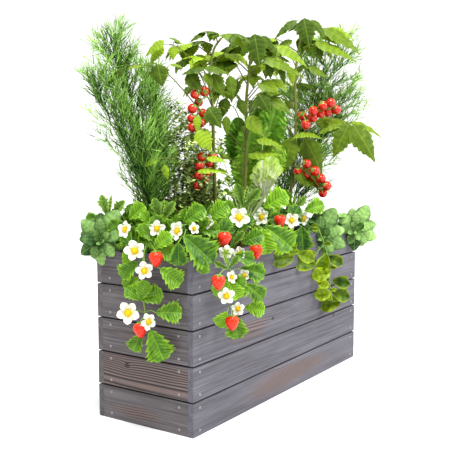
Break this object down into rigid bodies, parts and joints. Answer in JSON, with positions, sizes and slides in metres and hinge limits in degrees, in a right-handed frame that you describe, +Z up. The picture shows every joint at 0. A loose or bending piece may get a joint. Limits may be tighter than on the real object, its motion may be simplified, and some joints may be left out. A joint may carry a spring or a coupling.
{
  "type": "planted raised bed",
  "caption": "Slim rectangular raised bed of stacked stained boards on corner posts, filled with soil and planted with tomatoes, dill, thyme, lettuce, oregano, strawberries and a creeper.",
  "frame": {"origin": "on the ground under the middle of the bed", "axes": "+X along the bed towards its right end seen from the front, +Y to the back, +Z up"},
  "size_m": [1.2257, 0.6064, 1.2327],
  "materials": {
    "stained_board": "weathered grey-violet stain",
    "inner_timber": "plain sawn",
    "membrane": "matte black",
    "earth": "loose dark potting soil",
    "tomato_leaf": "soft leaf",
    "tomato_fruit": "glossy red fruit on green stalks",
    "strawberry_plant": "leaf with white flowers and red berries",
    "oregano_leaf": "soft matte leaf",
    "creeper_leaf": "waxy two-tone leaf",
    "lettuce_leaf": "crinkled leaf",
    "thyme_leaf": "small dark leaf",
    "dill_leaf": "fine feathery leaf"
  },
  "bodies": {
    "root": {"front_board_1": "stained_board", "front_board_2": "stained_board", "front_board_3": "stained_board", "front_board_4": "stained_board", "front_board_5": "stained_board", "back_board_1": "stained_board", "back_board_2": "stained_board", "back_board_3": "stained_board", "back_board_4": "stained_board", "back_board_5": "stained_board", "left_end_board_1": "stained_board", "left_end_board_2": "stained_board", "left_end_board_3": "stained_board", "left_end_board_4": "stained_board", "left_end_board_5": "stained_board", "right_end_board_1": "stained_board", "right_end_board_2": "stained_board", "right_end_board_3": "stained_board", "right_end_board_4": "stained_board", "right_end_board_5": "stained_board", "corner_post_front_left": "inner_timber", "corner_post_front_right": "inner_timber", "corner_post_back_left": "inner_timber", "corner_post_back_right": "inner_timber", "floor_bearer_1": "inner_timber", "floor_bearer_2": "inner_timber", "floor_bearer_3": "inner_timber", "floor_slat_1": "inner_timber", "floor_slat_2": "inner_timber", "floor_slat_3": "inner_timber", "liner": "membrane", "soil": "earth", "tomato_plant_left": "tomato_leaf", "tomato_plant_centre": "tomato_leaf", "tomato_plant_right": "tomato_leaf", "tomato_truss_left_upper": "tomato_fruit", "tomato_truss_left_lower": "tomato_fruit", "tomato_truss_right_upper": "tomato_fruit", "tomato_truss_right_lower": "tomato_fruit", "strawberry_left_end": "strawberry_plant", "strawberry_trail_end": "strawberry_plant", "strawberry_corner": "strawberry_plant", "strawberry_trail_front": "strawberry_plant", "strawberry_front": "strawberry_plant", "strawberry_right": "strawberry_plant", "strawberry_back_left": "strawberry_plant", "strawberry_back_right": "strawberry_plant", "oregano_left": "oregano_leaf", "oregano_right": "oregano_leaf", "oregano_far_right": "oregano_leaf", "creeper_short": "creeper_leaf", "creeper_long": "creeper_leaf", "lettuce": "lettuce_leaf", "thyme": "thyme_leaf", "dill_left_1": "dill_leaf", "dill_left_2": "dill_leaf", "dill_left_3": "dill_leaf", "dill_right_1": "dill_leaf", "dill_right_2": "dill_leaf"}
  },
  "joints": []
}
